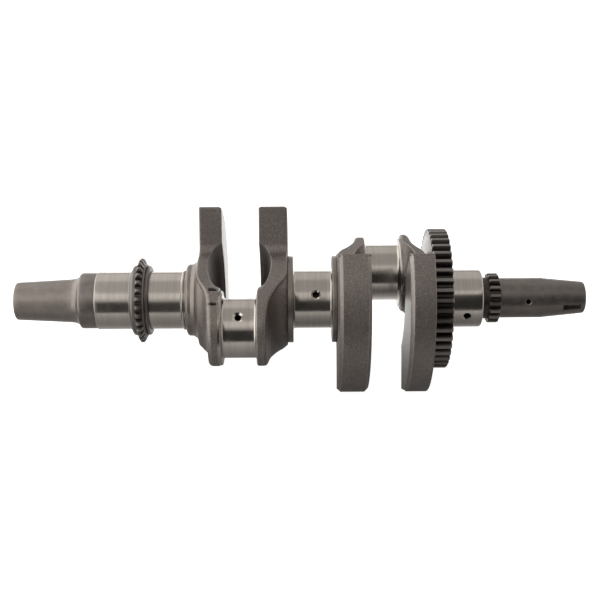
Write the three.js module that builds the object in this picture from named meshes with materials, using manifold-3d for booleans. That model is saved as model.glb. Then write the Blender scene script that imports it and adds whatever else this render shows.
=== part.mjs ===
// Crankshaft of a parallel-twin engine, millimetres, +Z up.
// The crank axis is the X axis, with the origin at the middle of its length.
// The shaft lies at rest: both crankpins are level with the axis, pin 1 towards -Y and pin 2 towards +Y,
// and the lower corners of the counterweights touch the table.
import * as THREE from 'three';
import { mergeVertices } from 'three/addons/utils/BufferGeometryUtils.js';
import Module from 'manifold-3d';

const wasm = await Module();
wasm.setup();

// ---------------------------------------------------------------- driving dimensions
const THROW = 36.75; // crank radius, half of the stroke
const JOURNAL_R = 22; // main journals and crankpins
const FAN_R = 71; // counterweight rim
const FAN_HALF_ANGLE = THREE.MathUtils.degToRad(61.5);
const HUB_R = 35.3; // web around the main axis
const WEB_FILLET_R = 8; // from the hub into the end of the counterweight
const FILLET_R = 2; // at each side of a bearing surface
const FIT_GAP = 0.3; // between a ring or a pressed-on piece and what it sits on
const OIL_HOLE_R = 2.5;
const BOLT_BORE_R = 5.1; // threaded bores in the two ends
const BORE_CHAMFER = 2.2;
const EDGE_CHAMFER = 1.2; // on the two ends of the shaft
const CUT_OVERRUN = 1; // how far a cutting tool runs past the metal

// Stations along the axis
const PTO_END = -216.5;
const PTO_TAPER_FOOT = -174.5;
const SEAL_LAND = [-165.3, -154.2];
const SPROCKET = [-128.1, -113.4];
const PTO_COLLAR = [-85.8, -76.5];
const WEB_1 = [-76.5, -59.2];
const ROD_1_SIDES = [-56.8, -31.6];
const WEB_2 = [-31.1, -9.4];
const CENTRE = [-9.4, 27.8];
const CENTRE_JOURNAL = [-5.1, 24.3];
const WEB_3 = [27.8, 50.6];
const ROD_2_SIDES = [50.9, 77.4];
const WEB_4 = [77.8, 95.6];
const WEB_4_LOBE_FACE = 80; // the lobe's inner face lies deeper than the counterweight's
const GEAR = [96.9, 110.7];
const NECK = [137.7, 142.8];
const PUMP_GEAR = [142.8, 152.5];
const CLUTCH_SHAFT_END = 183.5;
const FLYWHEEL_END = 216.5;

// Oil holes: station along the axis, and angle up from the -Y side
const PIN_1_HOLE = { x: -44.8, angle: 56.7 };
const PIN_2_HOLE = { x: 63.4, angle: 180 + 56.7 };
const CENTRE_HOLE = { x: 11.8, angle: 43 };
const FLYWHEEL_JOURNAL_HOLE = { x: 125.3, angle: -4 };
const CLUTCH_SHAFT_HOLE = { x: 172.2, angle: 22 };

// ---------------------------------------------------------------- finishes
const finish = (color, roughness, metalness) => ({ color, roughness, metalness });
const GROUND = finish(0xa5a099, 0.28, 1.0);
const TURNED = finish(0x6f6862, 0.42, 0.9);
const FORGED = finish(0x5f5853, 0.62, 0.7);
const GEAR_STEEL = finish(0x4e4a47, 0.45, 0.9);
const PLUG_STEEL = finish(0x8a8680, 0.4, 1.0);

// ---------------------------------------------------------------- geometry helpers
const group = new THREE.Group();

// Turns a geometry built along its own Z axis, or its own Y axis, to run along X.
const ALONG_X_FROM_Z = new THREE.Matrix4().makeBasis(
  new THREE.Vector3(0, 1, 0), new THREE.Vector3(0, 0, 1), new THREE.Vector3(1, 0, 0));
const ALONG_X_FROM_Y = new THREE.Matrix4().makeBasis(
  new THREE.Vector3(0, 0, 1), new THREE.Vector3(1, 0, 0), new THREE.Vector3(0, 1, 0));

function solid(geometry) {
  const bare = geometry.clone();
  bare.deleteAttribute('normal');
  bare.deleteAttribute('uv');
  const merged = mergeVertices(bare, 1e-3);
  return new wasm.Manifold(new wasm.Mesh({
    numProp: 3,
    vertProperties: new Float32Array(merged.attributes.position.array),
    triVerts: new Uint32Array(merged.index.array),
  }));
}

function geometryOf(manifold) {
  const mesh = manifold.getMesh();
  const geometry = new THREE.BufferGeometry();
  geometry.setAttribute('position', new THREE.BufferAttribute(new Float32Array(mesh.vertProperties), 3));
  geometry.setIndex(new THREE.BufferAttribute(new Uint32Array(mesh.triVerts), 1));
  return geometry;
}

function add(name, manifold, look) {
  const geometry = geometryOf(manifold).toNonIndexed();
  geometry.computeVertexNormals();
  const mesh = new THREE.Mesh(geometry, new THREE.MeshStandardMaterial(look));
  mesh.name = name;
  group.add(mesh);
}

// A solid of revolution about a line parallel to X at height y.
// The profile is a list of [x, radius] from left to right; it is closed onto the axis.
function turned(profile, { y = 0, segments = 40 } = {}) {
  const first = profile[0][0];
  const last = profile[profile.length - 1][0];
  const points = [[first, 0], ...profile, [last, 0]].map(([x, r]) => new THREE.Vector2(r, x));
  const geometry = new THREE.LatheGeometry(points, segments);
  geometry.applyMatrix4(ALONG_X_FROM_Y);
  geometry.translate(0, y, 0);
  return solid(geometry);
}

function rod(x0, x1, radius, options) {
  return turned([[x0, radius], [x1, radius]], options);
}

// An outline in the YZ plane, extruded from x0 to x1, and turned about the axis.
function extruded(shape, x0, x1, turn = 0) {
  const settings = { depth: x1 - x0, bevelEnabled: false, curveSegments: 8 };
  const geometry = new THREE.ExtrudeGeometry(shape, settings);
  geometry.applyMatrix4(ALONG_X_FROM_Z);
  geometry.rotateX(turn);
  geometry.translate(x0, 0, 0);
  return solid(geometry);
}

function block(x0, x1, y0, y1, z0, z1) {
  const geometry = new THREE.BoxGeometry(x1 - x0, y1 - y0, z1 - z0);
  geometry.translate((x0 + x1) / 2, (y0 + y1) / 2, (z0 + z1) / 2);
  return solid(geometry);
}

const HOLE_SEGMENTS = 12;
const BORE_SEGMENTS = 24;
const COUNTERSINK_WIDTH = 1;
const COUNTERSINK_DEPTH = 2;

// Points a tool's +Y outwards at an angle up from the -Y side, from the line at height y.
function aimed(geometry, { x, angle }, y) {
  geometry.rotateX(THREE.MathUtils.degToRad(180 - angle));
  geometry.translate(x, y, 0);
  return solid(geometry);
}

// A radial oil hole from the line at height y out through a surface of the given radius,
// with a countersink where it comes out.
function oilHole(hole, radius, surface, y = 0) {
  const reach = surface + CUT_OVERRUN;
  const drill = new THREE.CylinderGeometry(radius, radius, reach, HOLE_SEGMENTS);
  drill.translate(0, reach / 2, 0);
  const sink = new THREE.CylinderGeometry(
    radius + COUNTERSINK_WIDTH, radius, COUNTERSINK_DEPTH, HOLE_SEGMENTS);
  sink.translate(0, surface, 0);
  return aimed(drill, hole, y).add(aimed(sink, hole, y));
}

// ---------------------------------------------------------------- power take-off end
const PTO_TAPER_TIP_R = 14.3;
const PTO_TAPER_FOOT_R = 16.5;
const SEAL_LAND_R = 21.3;
const PTO_SWEEP = [[-171, 17.3], [-168, 18.8], [-166.3, 20.6]]; // from the taper up to the seal land
const PTO_BOLT_DEPTH = 40;
const DRILL_POINT = 3;
const boltMouth = PTO_END + EDGE_CHAMFER;
const boltFoot = PTO_END + PTO_BOLT_DEPTH;
add('pto_taper_nose', turned([
  [PTO_END, PTO_TAPER_TIP_R - EDGE_CHAMFER], [boltMouth, PTO_TAPER_TIP_R],
  [PTO_TAPER_FOOT, PTO_TAPER_FOOT_R], ...PTO_SWEEP, [SEAL_LAND[0], SEAL_LAND_R],
]).subtract(turned([
  [PTO_END - CUT_OVERRUN, BOLT_BORE_R + BORE_CHAMFER], [boltMouth, BOLT_BORE_R],
  [boltFoot, BOLT_BORE_R], [boltFoot + DRILL_POINT, FIT_GAP],
], { segments: BORE_SEGMENTS })), TURNED);
add('pto_seal_land', rod(...SEAL_LAND, SEAL_LAND_R), TURNED);
add('pto_outer_journal', rod(SEAL_LAND[1], SPROCKET[0], JOURNAL_R), GROUND);

// ---------------------------------------------------------------- cam chain sprocket, its seat and key
const SPROCKET_TEETH = 30;
const SPROCKET_TIP_R = 32.2;
const SPROCKET_ROOT_R = 28.4;
const SPROCKET_COLLAR_R = 26.9;
const SPROCKET_LIP = { x: -126.8, radius: 23.2 }; // a thin lip runs on to the left of the collar
const SPROCKET_DISC = [-122.8, -117.2];
const DISC_BEVEL = 1.6; // each tooth's ends are cut back
const DISC_BEVEL_R = 29.2;
const COLLAR_FILLET = 0.5; // where each collar runs into the disc
const COLLAR_CHAMFER = 1;
const KEY_WIDTH = 5;
const KEY_HEIGHT = 4;

// A wheel's outline: every tooth has a root land, two flanks and a tip land.
function toothedOutline(teeth, rootR, tipR, rootShare, tipShare) {
  const shape = new THREE.Shape();
  const pitch = (2 * Math.PI) / teeth;
  const corners = [
    [-rootShare / 2, rootR], [-tipShare / 2, tipR], [tipShare / 2, tipR], [rootShare / 2, rootR],
  ];
  for (let tooth = 0; tooth < teeth; tooth++) {
    for (const [share, r] of corners) {
      const a = (tooth + share) * pitch;
      const go = tooth === 0 && share === corners[0][0] ? 'moveTo' : 'lineTo';
      shape[go](r * Math.cos(a), r * Math.sin(a));
    }
  }
  return shape;
}

// A key stands half in the seat and half in the wheel, on the -Y side.
const keyBlock = ([x0, x1], slack = 0) => block(
  x0 - slack, x1 + slack,
  -JOURNAL_R - KEY_HEIGHT / 2 - slack, -JOURNAL_R + KEY_HEIGHT / 2 + slack,
  -KEY_WIDTH / 2 - slack, KEY_WIDTH / 2 + slack);

// The hole that a ring or a pressed-on wheel needs round a shaft, cut right through it.
const seatHole = (x0, x1, radius, y = 0) =>
  rod(x0 - CUT_OVERRUN, x1 + CUT_OVERRUN, radius + FIT_GAP, { y });

const KEY_END = 4; // from each end of the sprocket to its key
const sprocketKeyway = [SPROCKET[0] + KEY_END, SPROCKET[1] - KEY_END];
const [disc0, disc1] = SPROCKET_DISC;
const toothed = extruded(
  toothedOutline(SPROCKET_TEETH, SPROCKET_ROOT_R, SPROCKET_TIP_R, 0.78, 0.26), disc0, disc1);
const toothTaper = turned([
  [disc0, DISC_BEVEL_R], [disc0 + DISC_BEVEL, SPROCKET_TIP_R + FIT_GAP],
  [disc1 - DISC_BEVEL, SPROCKET_TIP_R + FIT_GAP], [disc1, DISC_BEVEL_R],
], { segments: SPROCKET_TEETH });
const discRootR = SPROCKET_COLLAR_R - COLLAR_FILLET;
const sprocketCollars = turned([
  [SPROCKET[0], SPROCKET_LIP.radius], [SPROCKET_LIP.x, SPROCKET_LIP.radius],
  [SPROCKET_LIP.x, SPROCKET_COLLAR_R - COLLAR_CHAMFER], [SPROCKET_LIP.x + COLLAR_CHAMFER, SPROCKET_COLLAR_R],
  [disc0 - COLLAR_FILLET, SPROCKET_COLLAR_R], [disc0, discRootR],
  [disc1, discRootR], [disc1 + COLLAR_FILLET, SPROCKET_COLLAR_R],
  [SPROCKET[1] - COLLAR_CHAMFER, SPROCKET_COLLAR_R], [SPROCKET[1], SPROCKET_COLLAR_R - COLLAR_CHAMFER],
]);
add('cam_chain_sprocket', toothed.intersect(toothTaper).add(sprocketCollars)
  .subtract(seatHole(...SPROCKET, JOURNAL_R))
  .subtract(keyBlock(sprocketKeyway, FIT_GAP)), GEAR_STEEL);
add('sprocket_seat', rod(...SPROCKET, JOURNAL_R).subtract(keyBlock(sprocketKeyway, FIT_GAP)), GROUND);
add('sprocket_key', keyBlock(sprocketKeyway), PLUG_STEEL);

// ---------------------------------------------------------------- main journals
const CENTRE_COLLAR_R = 33;
const PTO_COLLAR_R = 27.4;
const PTO_COLLAR_CHAMFER = 2.2;
const ROOT_R = JOURNAL_R + FILLET_R; // a journal past its fillets, inside the side rings

// A journal or crankpin about the line at height y, from x0 to x1.
// It has a fillet at each bearing side, and runs on thicker through the side rings.
function filletedJournal([x0, x1], [side0, side1], y = 0) {
  const middle = FILLET_R * (1 - Math.SQRT1_2);
  const fillet = [[0, ROOT_R], [middle, JOURNAL_R + middle], [FILLET_R, JOURNAL_R]];
  const left = fillet.map(([dx, r]) => [side0 + dx, r]);
  const right = fillet.map(([dx, r]) => [side1 - dx, r]).reverse();
  return turned([[x0, ROOT_R], ...left, ...right, [x1, ROOT_R]], { y });
}

add('pto_inner_journal', rod(SPROCKET[1], PTO_COLLAR[1], JOURNAL_R), GROUND);
add('pto_thrust_collar', turned([
  [PTO_COLLAR[0], PTO_COLLAR_R - PTO_COLLAR_CHAMFER],
  [PTO_COLLAR[0] + PTO_COLLAR_CHAMFER, PTO_COLLAR_R], [PTO_COLLAR[1], PTO_COLLAR_R],
]).subtract(seatHole(...PTO_COLLAR, JOURNAL_R)), TURNED);
const centreCollar = (x0, x1) => rod(x0, x1, CENTRE_COLLAR_R).subtract(seatHole(x0, x1, ROOT_R));
add('centre_thrust_collar_left', centreCollar(CENTRE[0], CENTRE_JOURNAL[0]), TURNED);
add('centre_main_journal', filletedJournal(CENTRE, CENTRE_JOURNAL)
  .subtract(oilHole(CENTRE_HOLE, OIL_HOLE_R, JOURNAL_R)), GROUND);
add('centre_thrust_collar_right', centreCollar(CENTRE_JOURNAL[1], CENTRE[1]), TURNED);

// ---------------------------------------------------------------- webs
const RIM_STOCK = 1; // the outline stands proud of the rim, which is then turned to size

// Outline of a web with its pin towards +x of the outline: lobe, tangent flanks, hub, fillets and fan.
function webOutline(lobeR) {
  const flank = Math.acos((HUB_R - lobeR) / THROW);
  const end = Math.PI - FAN_HALF_ANGLE;
  const reach = HUB_R + WEB_FILLET_R;
  const fillet = end - Math.asin(WEB_FILLET_R / reach);
  const shape = new THREE.Shape();
  const cx = reach * Math.cos(fillet);
  const cy = reach * Math.sin(fillet);
  shape.absarc(THROW, 0, lobeR, -flank, flank, false);
  shape.absarc(0, 0, HUB_R, flank, fillet, false);
  shape.absarc(cx, cy, WEB_FILLET_R, fillet + Math.PI, end + Math.PI / 2, true);
  shape.absarc(0, 0, FAN_R + RIM_STOCK, end, 2 * Math.PI - end, false);
  shape.absarc(cx, -cy, WEB_FILLET_R, -end - Math.PI / 2, -fillet - Math.PI, true);
  shape.absarc(0, 0, HUB_R, -fillet, -flank, false);
  return shape;
}

// The outer side of the lobe slopes away: radius about the main axis against depth from the inner face.
const MIDDLE_SLOPE = [
  [0, 66], [6.4, 65], [7.3, 55], [8, 50], [9.8, 44.3], [12.9, 40.3], [16.3, 37.4], [22.8, 35.4],
];
const OUTER_SLOPE = [
  [0, 66], [6.8, 66], [7.8, 60], [8.4, 52], [9.2, 46], [10.4, 41.5], [12.5, 38.4], [17.8, 35.2],
];
// The groove in the inner face runs round the pin; its section is half an ellipse.
const RELIEF = { radius: 49.2, halfWidth: 19.3, depth: 9.7 };
const WEB_4_RELIEF = { radius: 46, halfWidth: 16, depth: 9.7 };
const RELIEF_STEPS = 16;
const PIN_SIDE_R = 27.6;
const LOBE_FACE_R = 32; // reach of a deeper lobe face, from the pin

function reliefRing({ radius, halfWidth, depth }) {
  const points = [];
  for (let step = 0; step <= RELIEF_STEPS; step++) {
    const t = (2 * Math.PI * (step % RELIEF_STEPS)) / RELIEF_STEPS;
    points.push(new THREE.Vector2(radius + halfWidth * Math.cos(t), depth * Math.sin(t)));
  }
  return new THREE.LatheGeometry(points, 48);
}

// inner is the face towards the pin, outer the face away from it, and ring the top of the thrust ring.
// lobeFace is the inner face round the pin, and pinSide is -1 or +1, the sign of the pin's Y.
function web({ inner, lobeFace, outer, ring, pinSide, lobeR, slope, relief, rimChamfer }) {
  const outward = Math.sign(outer - inner);
  const [x0, x1] = outward > 0 ? [inner, outer] : [outer, inner];
  const pinY = pinSide * THROW;
  const leftToRight = (profile) => (outward > 0 ? profile : profile.slice().reverse());

  const plate = extruded(webOutline(lobeR), x0, x1, pinSide < 0 ? Math.PI : 0);
  const slopeOf = ([depth, r]) => [inner + outward * depth, r];
  const lobe = plate.intersect(turned(leftToRight(slope.map(slopeOf))));
  const [innerChamfer, outerChamfer] = rimChamfer;
  const fanBlank = turned(leftToRight([
    [inner, FAN_R - innerChamfer], [inner + outward * innerChamfer, FAN_R],
    [outer - outward * outerChamfer, FAN_R], [outer, FAN_R - outerChamfer],
  ]), { segments: 60 });
  const reach = FAN_R + 2 * RIM_STOCK;
  const behindPin = pinSide < 0 ? [0, reach] : [-reach, 0];
  const fan = plate.intersect(fanBlank)
    .intersect(block(x0 - CUT_OVERRUN, x1 + CUT_OVERRUN, ...behindPin, -reach, reach));

  const ringGeometry = reliefRing(relief);
  ringGeometry.applyMatrix4(ALONG_X_FROM_Y);
  ringGeometry.translate(inner, pinY, 0);

  // The raised side ring starts a little inside the web, and stands clear of the pin's root.
  const span = (from, to) => [Math.min(from, to), Math.max(from, to)];
  const sideRing = rod(...span(ring, lobeFace + outward * CUT_OVERRUN), PIN_SIDE_R, { y: pinY });
  const rootHole = rod(...span(ring - outward * CUT_OVERRUN, lobeFace), ROOT_R + FIT_GAP, { y: pinY });
  let plain = lobe.add(fan).subtract(solid(ringGeometry));
  if (lobeFace !== inner) {
    plain = plain.subtract(rod(...span(inner - outward * CUT_OVERRUN, lobeFace), LOBE_FACE_R, { y: pinY }));
  }
  return plain.add(sideRing).subtract(rootHole);
}

const SHARP = 0.3; // the sawn-square edge of an outer rim
const RIM_CHAMFER = 2.4;
const WEB_4_RIM_CHAMFER = 2.8;
const LOBE_R = 28;
const WEB_4_LOBE_R = 30;
add('web_1', web({
  inner: WEB_1[1], lobeFace: WEB_1[1], outer: WEB_1[0], ring: ROD_1_SIDES[0], pinSide: -1,
  lobeR: LOBE_R, slope: OUTER_SLOPE, relief: RELIEF, rimChamfer: [RIM_CHAMFER, SHARP],
}), FORGED);
add('web_2', web({
  inner: WEB_2[0], lobeFace: WEB_2[0], outer: WEB_2[1], ring: ROD_1_SIDES[1], pinSide: -1,
  lobeR: LOBE_R, slope: MIDDLE_SLOPE, relief: RELIEF, rimChamfer: [RIM_CHAMFER, RIM_CHAMFER],
}), FORGED);
add('web_3', web({
  inner: WEB_3[1], lobeFace: WEB_3[1], outer: WEB_3[0], ring: ROD_2_SIDES[0], pinSide: 1,
  lobeR: LOBE_R, slope: MIDDLE_SLOPE, relief: RELIEF, rimChamfer: [RIM_CHAMFER, RIM_CHAMFER],
}), FORGED);
add('web_4', web({
  inner: WEB_4[0], lobeFace: WEB_4_LOBE_FACE, outer: WEB_4[1], ring: ROD_2_SIDES[1], pinSide: 1,
  lobeR: WEB_4_LOBE_R, slope: OUTER_SLOPE, relief: WEB_4_RELIEF,
  rimChamfer: [WEB_4_RIM_CHAMFER, SHARP],
}), FORGED);

// ---------------------------------------------------------------- crankpins
const crankpin = (span, sides, y, hole) =>
  filletedJournal(span, sides, y).subtract(oilHole(hole, OIL_HOLE_R, JOURNAL_R, y));
add('crankpin_1', crankpin([WEB_1[1], WEB_2[0]], ROD_1_SIDES, -THROW, PIN_1_HOLE), GROUND);
add('crankpin_2', crankpin([WEB_3[1], WEB_4_LOBE_FACE], ROD_2_SIDES, THROW, PIN_2_HOLE), GROUND);

// ---------------------------------------------------------------- balancer drive gear, its seat and key
const BALANCER_TEETH = 44;
const BALANCER_TIP_R = 53.15;
const BALANCER_ROOT_R = 48.1;
const GEAR_STOP_R = 30; // the shoulder that the gear is pressed up to
const GEAR_KEY_END = 1.5;
const balancerKeyway = [GEAR[0] + GEAR_KEY_END, GEAR[1] - GEAR_KEY_END];
add('balancer_drive_gear', extruded(
  toothedOutline(BALANCER_TEETH, BALANCER_ROOT_R, BALANCER_TIP_R, 0.74, 0.3), ...GEAR)
  .subtract(seatHole(...GEAR, JOURNAL_R))
  .subtract(keyBlock(balancerKeyway, FIT_GAP)), GEAR_STEEL);
const gearStop = GEAR[0] - FIT_GAP;
add('balancer_gear_seat', turned([
  [WEB_4[1], GEAR_STOP_R], [gearStop, GEAR_STOP_R], [gearStop, JOURNAL_R], [GEAR[1], JOURNAL_R],
]).subtract(keyBlock(balancerKeyway, FIT_GAP)), TURNED);
add('balancer_gear_key', keyBlock(balancerKeyway), PLUG_STEEL);

// ---------------------------------------------------------------- flywheel end
const NECK_R = 15.7;
const SHAFT_R = 15.15;
const GALLERY_R = 3;
const PLUG_SEAT_R = 5;
const PLUG_SEAT = [176, 181];
const GALLERY_RUN_ON = 4; // past the last oil hole it feeds
const SHOULDER_EDGE = 1; // chamfer at the top of the journal's shoulder and fillet at its foot
const gallery = rod(
  FLYWHEEL_JOURNAL_HOLE.x - GALLERY_RUN_ON, CLUTCH_SHAFT_END + CUT_OVERRUN, GALLERY_R,
  { segments: BORE_SEGMENTS });
add('flywheel_main_journal', turned([
  [GEAR[1], JOURNAL_R], [NECK[0] - SHOULDER_EDGE, JOURNAL_R], [NECK[0], JOURNAL_R - SHOULDER_EDGE],
  [NECK[0], NECK_R + SHOULDER_EDGE], [NECK[0] + SHOULDER_EDGE, NECK_R], [NECK[1], NECK_R],
]).subtract(gallery)
  .subtract(oilHole(FLYWHEEL_JOURNAL_HOLE, OIL_HOLE_R, JOURNAL_R)), GROUND);

const PUMP_TEETH = 18;
const PUMP_TIP_R = 18.9;
const PUMP_EDGE = 0.6;
const PUMP_RUN_OUT = 2.2; // the teeth run out towards the shaft
const pumpBlankR = PUMP_TIP_R + FIT_GAP;
add('oil_pump_drive_gear', extruded(
  toothedOutline(PUMP_TEETH, SHAFT_R, PUMP_TIP_R, 0.72, 0.3), ...PUMP_GEAR)
  .intersect(turned([
    [PUMP_GEAR[0], PUMP_TIP_R - PUMP_EDGE], [PUMP_GEAR[0] + PUMP_EDGE, pumpBlankR],
    [PUMP_GEAR[1] - PUMP_RUN_OUT, pumpBlankR], [PUMP_GEAR[1], SHAFT_R],
  ])).subtract(gallery), GEAR_STEEL);

const CLUTCH_HOLE_R = 2;
add('starter_clutch_shaft', rod(PUMP_GEAR[1], CLUTCH_SHAFT_END, SHAFT_R)
  .subtract(gallery)
  .subtract(rod(PLUG_SEAT[0], CLUTCH_SHAFT_END + CUT_OVERRUN, PLUG_SEAT_R, { segments: BORE_SEGMENTS }))
  .subtract(oilHole(CLUTCH_SHAFT_HOLE, CLUTCH_HOLE_R, SHAFT_R)), TURNED);
add('shaft_gallery_plug', rod(
  PLUG_SEAT[0] + FIT_GAP, PLUG_SEAT[1], PLUG_SEAT_R - FIT_GAP, { segments: BORE_SEGMENTS }), PLUG_STEEL);

const FLYWHEEL_TAPER_END_R = 11.9;
const KEYWAY = { x0: 199.3, x1: 212.6, width: 4.6, depth: 3.2 };
const taperEdge = FLYWHEEL_END - EDGE_CHAMFER;
const keywayMiddle = (KEYWAY.x0 + KEYWAY.x1) / 2;
const keywaySurface = THREE.MathUtils.mapLinear(
  keywayMiddle, CLUTCH_SHAFT_END, FLYWHEEL_END, SHAFT_R, FLYWHEEL_TAPER_END_R);
add('flywheel_taper', turned([
  [CLUTCH_SHAFT_END, SHAFT_R], [taperEdge, FLYWHEEL_TAPER_END_R],
  [FLYWHEEL_END, FLYWHEEL_TAPER_END_R - EDGE_CHAMFER],
]).subtract(turned([
  [CLUTCH_SHAFT_END - CUT_OVERRUN, BOLT_BORE_R], [taperEdge, BOLT_BORE_R],
  [FLYWHEEL_END + CUT_OVERRUN, BOLT_BORE_R + BORE_CHAMFER],
], { segments: BORE_SEGMENTS }))
  .subtract(block(KEYWAY.x0, KEYWAY.x1, -SHAFT_R, -keywaySurface + KEYWAY.depth,
    -KEYWAY.width / 2, KEYWAY.width / 2)), TURNED);

export default group;
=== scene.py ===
"""Looks of a parallel-twin crankshaft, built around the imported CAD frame.

Shapes are worked out in millimetres on grids of two parameters and written to meshes in metres.
The crank axis is X, crankpin 1 lies towards -Y, crankpin 2 towards +Y, and +Z is up.
"""

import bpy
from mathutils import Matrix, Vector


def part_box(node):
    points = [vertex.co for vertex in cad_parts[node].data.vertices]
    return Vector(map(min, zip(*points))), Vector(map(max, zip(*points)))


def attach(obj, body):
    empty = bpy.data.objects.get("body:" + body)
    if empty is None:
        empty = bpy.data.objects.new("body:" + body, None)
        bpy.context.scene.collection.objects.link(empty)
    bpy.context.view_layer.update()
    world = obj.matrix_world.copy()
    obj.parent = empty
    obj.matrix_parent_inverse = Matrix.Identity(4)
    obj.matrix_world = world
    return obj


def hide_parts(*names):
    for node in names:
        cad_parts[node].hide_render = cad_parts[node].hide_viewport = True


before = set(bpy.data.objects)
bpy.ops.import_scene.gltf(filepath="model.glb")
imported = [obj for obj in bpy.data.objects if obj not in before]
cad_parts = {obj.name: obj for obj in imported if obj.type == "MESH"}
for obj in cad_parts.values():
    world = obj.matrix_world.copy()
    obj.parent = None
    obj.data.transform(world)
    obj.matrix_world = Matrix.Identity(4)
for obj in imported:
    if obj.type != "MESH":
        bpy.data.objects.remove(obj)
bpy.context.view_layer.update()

import math

import bpy
import numpy as np

MM = 0.001
TURN = 2 * math.pi

# Driving sizes of the crankshaft, the same as the CAD model's, in millimetres.
THROW = 36.75
JOURNAL_R = 22.0
FAN_R = 71.0
FAN_END = math.pi - math.radians(61.5)
HUB_R = 35.3
WEB_FILLET_R = 8.0
LOBE_R = 28.0
WEB_4_LOBE_R = 30.0
BOLT_BORE_R = 5.1
SHAFT_R = 15.15
CORE_R = 3.0  # how far in the drawn end faces run


def span(node):
    """Lowest and highest X of a CAD node, in millimetres."""
    low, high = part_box(node)
    return low[0] / MM, high[0] / MM


# ------------------------------------------------------------------ camera
CAMERA_DISTANCE = 0.790
CAMERA_ELEVATION = math.radians(34.7)
CAMERA_ROLL = math.radians(0.408)
CAMERA_DROP = 0.0006
LENS_MM = 61.8


def make_camera():
    """Looks at the crank axis from the front and above, rolled a little, as the shaft lies on its table."""
    data = bpy.data.cameras.new("camera")
    data.lens = LENS_MM
    data.sensor_width = 36.0
    camera = bpy.data.objects.new("camera", data)
    bpy.context.scene.collection.objects.link(camera)
    sin_e, cos_e = math.sin(CAMERA_ELEVATION), math.cos(CAMERA_ELEVATION)
    back = np.array([0.0, -cos_e, sin_e])
    up = np.array([0.0, sin_e, cos_e])
    camera.location = back * CAMERA_DISTANCE - up * CAMERA_DROP
    camera.rotation_euler = (math.pi / 2 - CAMERA_ELEVATION, 0, 0)
    camera.rotation_euler.rotate_axis("Z", -CAMERA_ROLL)
    bpy.context.scene.camera = camera


make_camera()


# ------------------------------------------------------------------ shader maths
class Number:
    """A number socket. Arithmetic on it adds Math nodes to its tree."""

    def __init__(self, tree, socket):
        self.tree = tree
        self.socket = socket

    def maths(self, operation, *values, clamp=False):
        settings = {"operation": operation, "use_clamp": clamp}
        return self.tree.add("ShaderNodeMath", settings, dict(enumerate(values)))[0]

    def __add__(self, other):
        return self.maths("ADD", self, other)

    __radd__ = __add__

    def __sub__(self, other):
        return self.maths("SUBTRACT", self, other)

    def __rsub__(self, other):
        return self.maths("SUBTRACT", other, self)

    def __mul__(self, other):
        return self.maths("MULTIPLY", self, other)

    __rmul__ = __mul__

    def clamp(self):
        return self.maths("ADD", self, 0.0, clamp=True)

    def absolute(self):
        return self.maths("ABSOLUTE", self)

    def step(self, low, high):
        """Rises smoothly from 0 at low to 1 at high."""
        settings = {"interpolation_type": "SMOOTHSTEP"}
        return self.tree.add("ShaderNodeMapRange", settings, {0: self, 1: low, 2: high})[0]


class Tree:
    """A node tree: add() makes a node from its type, settings and inputs, and gives its outputs."""

    def __init__(self, node_tree):
        self.nodes = node_tree.nodes
        self.links = node_tree.links
        self.nodes.clear()

    def add(self, kind, settings=None, inputs=None):
        node = self.nodes.new(kind)
        for key, value in (settings or {}).items():
            setattr(node, key, value)
        for key, value in (inputs or {}).items():
            if isinstance(value, Number):
                self.links.new(value.socket, node.inputs[key])
            else:
                node.inputs[key].default_value = value
        return [Number(self, socket) for socket in node.outputs]

    def mix(self, factor, first, second):
        """Blends two colours; each is a tuple of three or a socket."""
        full = [c if isinstance(c, Number) else (*c, 1.0) for c in (first, second)]
        settings = {"data_type": "RGBA"}
        return self.add("ShaderNodeMix", settings, {0: factor, 6: full[0], 7: full[1]})[2]

    def stretched(self, vector, scale):
        settings = {"operation": "MULTIPLY"}
        return self.add("ShaderNodeVectorMath", settings, {0: vector, 1: scale})[0]

    def noise(self, vector, scale, detail=2.0, roughness=0.5):
        inputs = {"Vector": vector, "Scale": scale, "Detail": detail, "Roughness": roughness}
        return self.add("ShaderNodeTexNoise", None, inputs)[0]

    def attribute(self, name):
        return self.add("ShaderNodeAttribute", {"attribute_name": name})[2]

    def bump(self, height, strength, distance):
        inputs = {"Height": height, "Strength": strength, "Distance": distance}
        return self.add("ShaderNodeBump", None, inputs)[0]


def metal(tree, base, roughness, metallic, normal):
    """Finishes a tree with one Principled shader."""
    inputs = {"Base Color": base, "Roughness": roughness, "Metallic": metallic, "Normal": normal}
    shader = tree.add("ShaderNodeBsdfPrincipled", None, inputs)[0]
    tree.add("ShaderNodeOutputMaterial", None, {0: shader})


def material(name):
    """A new material and its empty tree."""
    made = bpy.data.materials.new(name)
    made.use_nodes = True
    return made, Tree(made.node_tree)


def object_coordinates(tree):
    return tree.add("ShaderNodeTexCoord")[3]


def ring_lines(tree, vector, across, around):
    """Tool lines that run round the crank axis: noise squeezed along X and stretched around it."""
    return tree.noise(tree.stretched(vector, (across, around, around)), 1.0, 3.0, 0.6)


def ground_steel(name, light, dark, gloss):
    """Ground and polished bearing surface: faint lines round the axis and a slow change of tone."""
    made, tree = material(name)
    place = object_coordinates(tree)
    fine = ring_lines(tree, place, 2600.0, 22.0)
    broad = ring_lines(tree, place, 420.0, 9.0)
    tone = (fine * 0.45 + broad * 0.55).step(0.36, 0.64)
    patina = tree.noise(place, 45.0, 3.0, 0.55).step(0.35, 0.7)
    base = tree.mix(tone, dark, light)
    base = tree.mix(patina * 0.22, base, tuple(0.8 * c for c in dark))
    # Painted shade: the inside of an oil hole, below its countersink, is painted near-black.
    base = tree.mix(tree.attribute("bore_painted_shade"), base, BORE_PAINTED_SHADE)
    rough = gloss + tone * -0.05 + patina * 0.06
    metal(tree, base, rough, 1.0, tree.bump(fine * 0.6 + broad * 0.4, 0.04, 0.00004))
    return made


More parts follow.
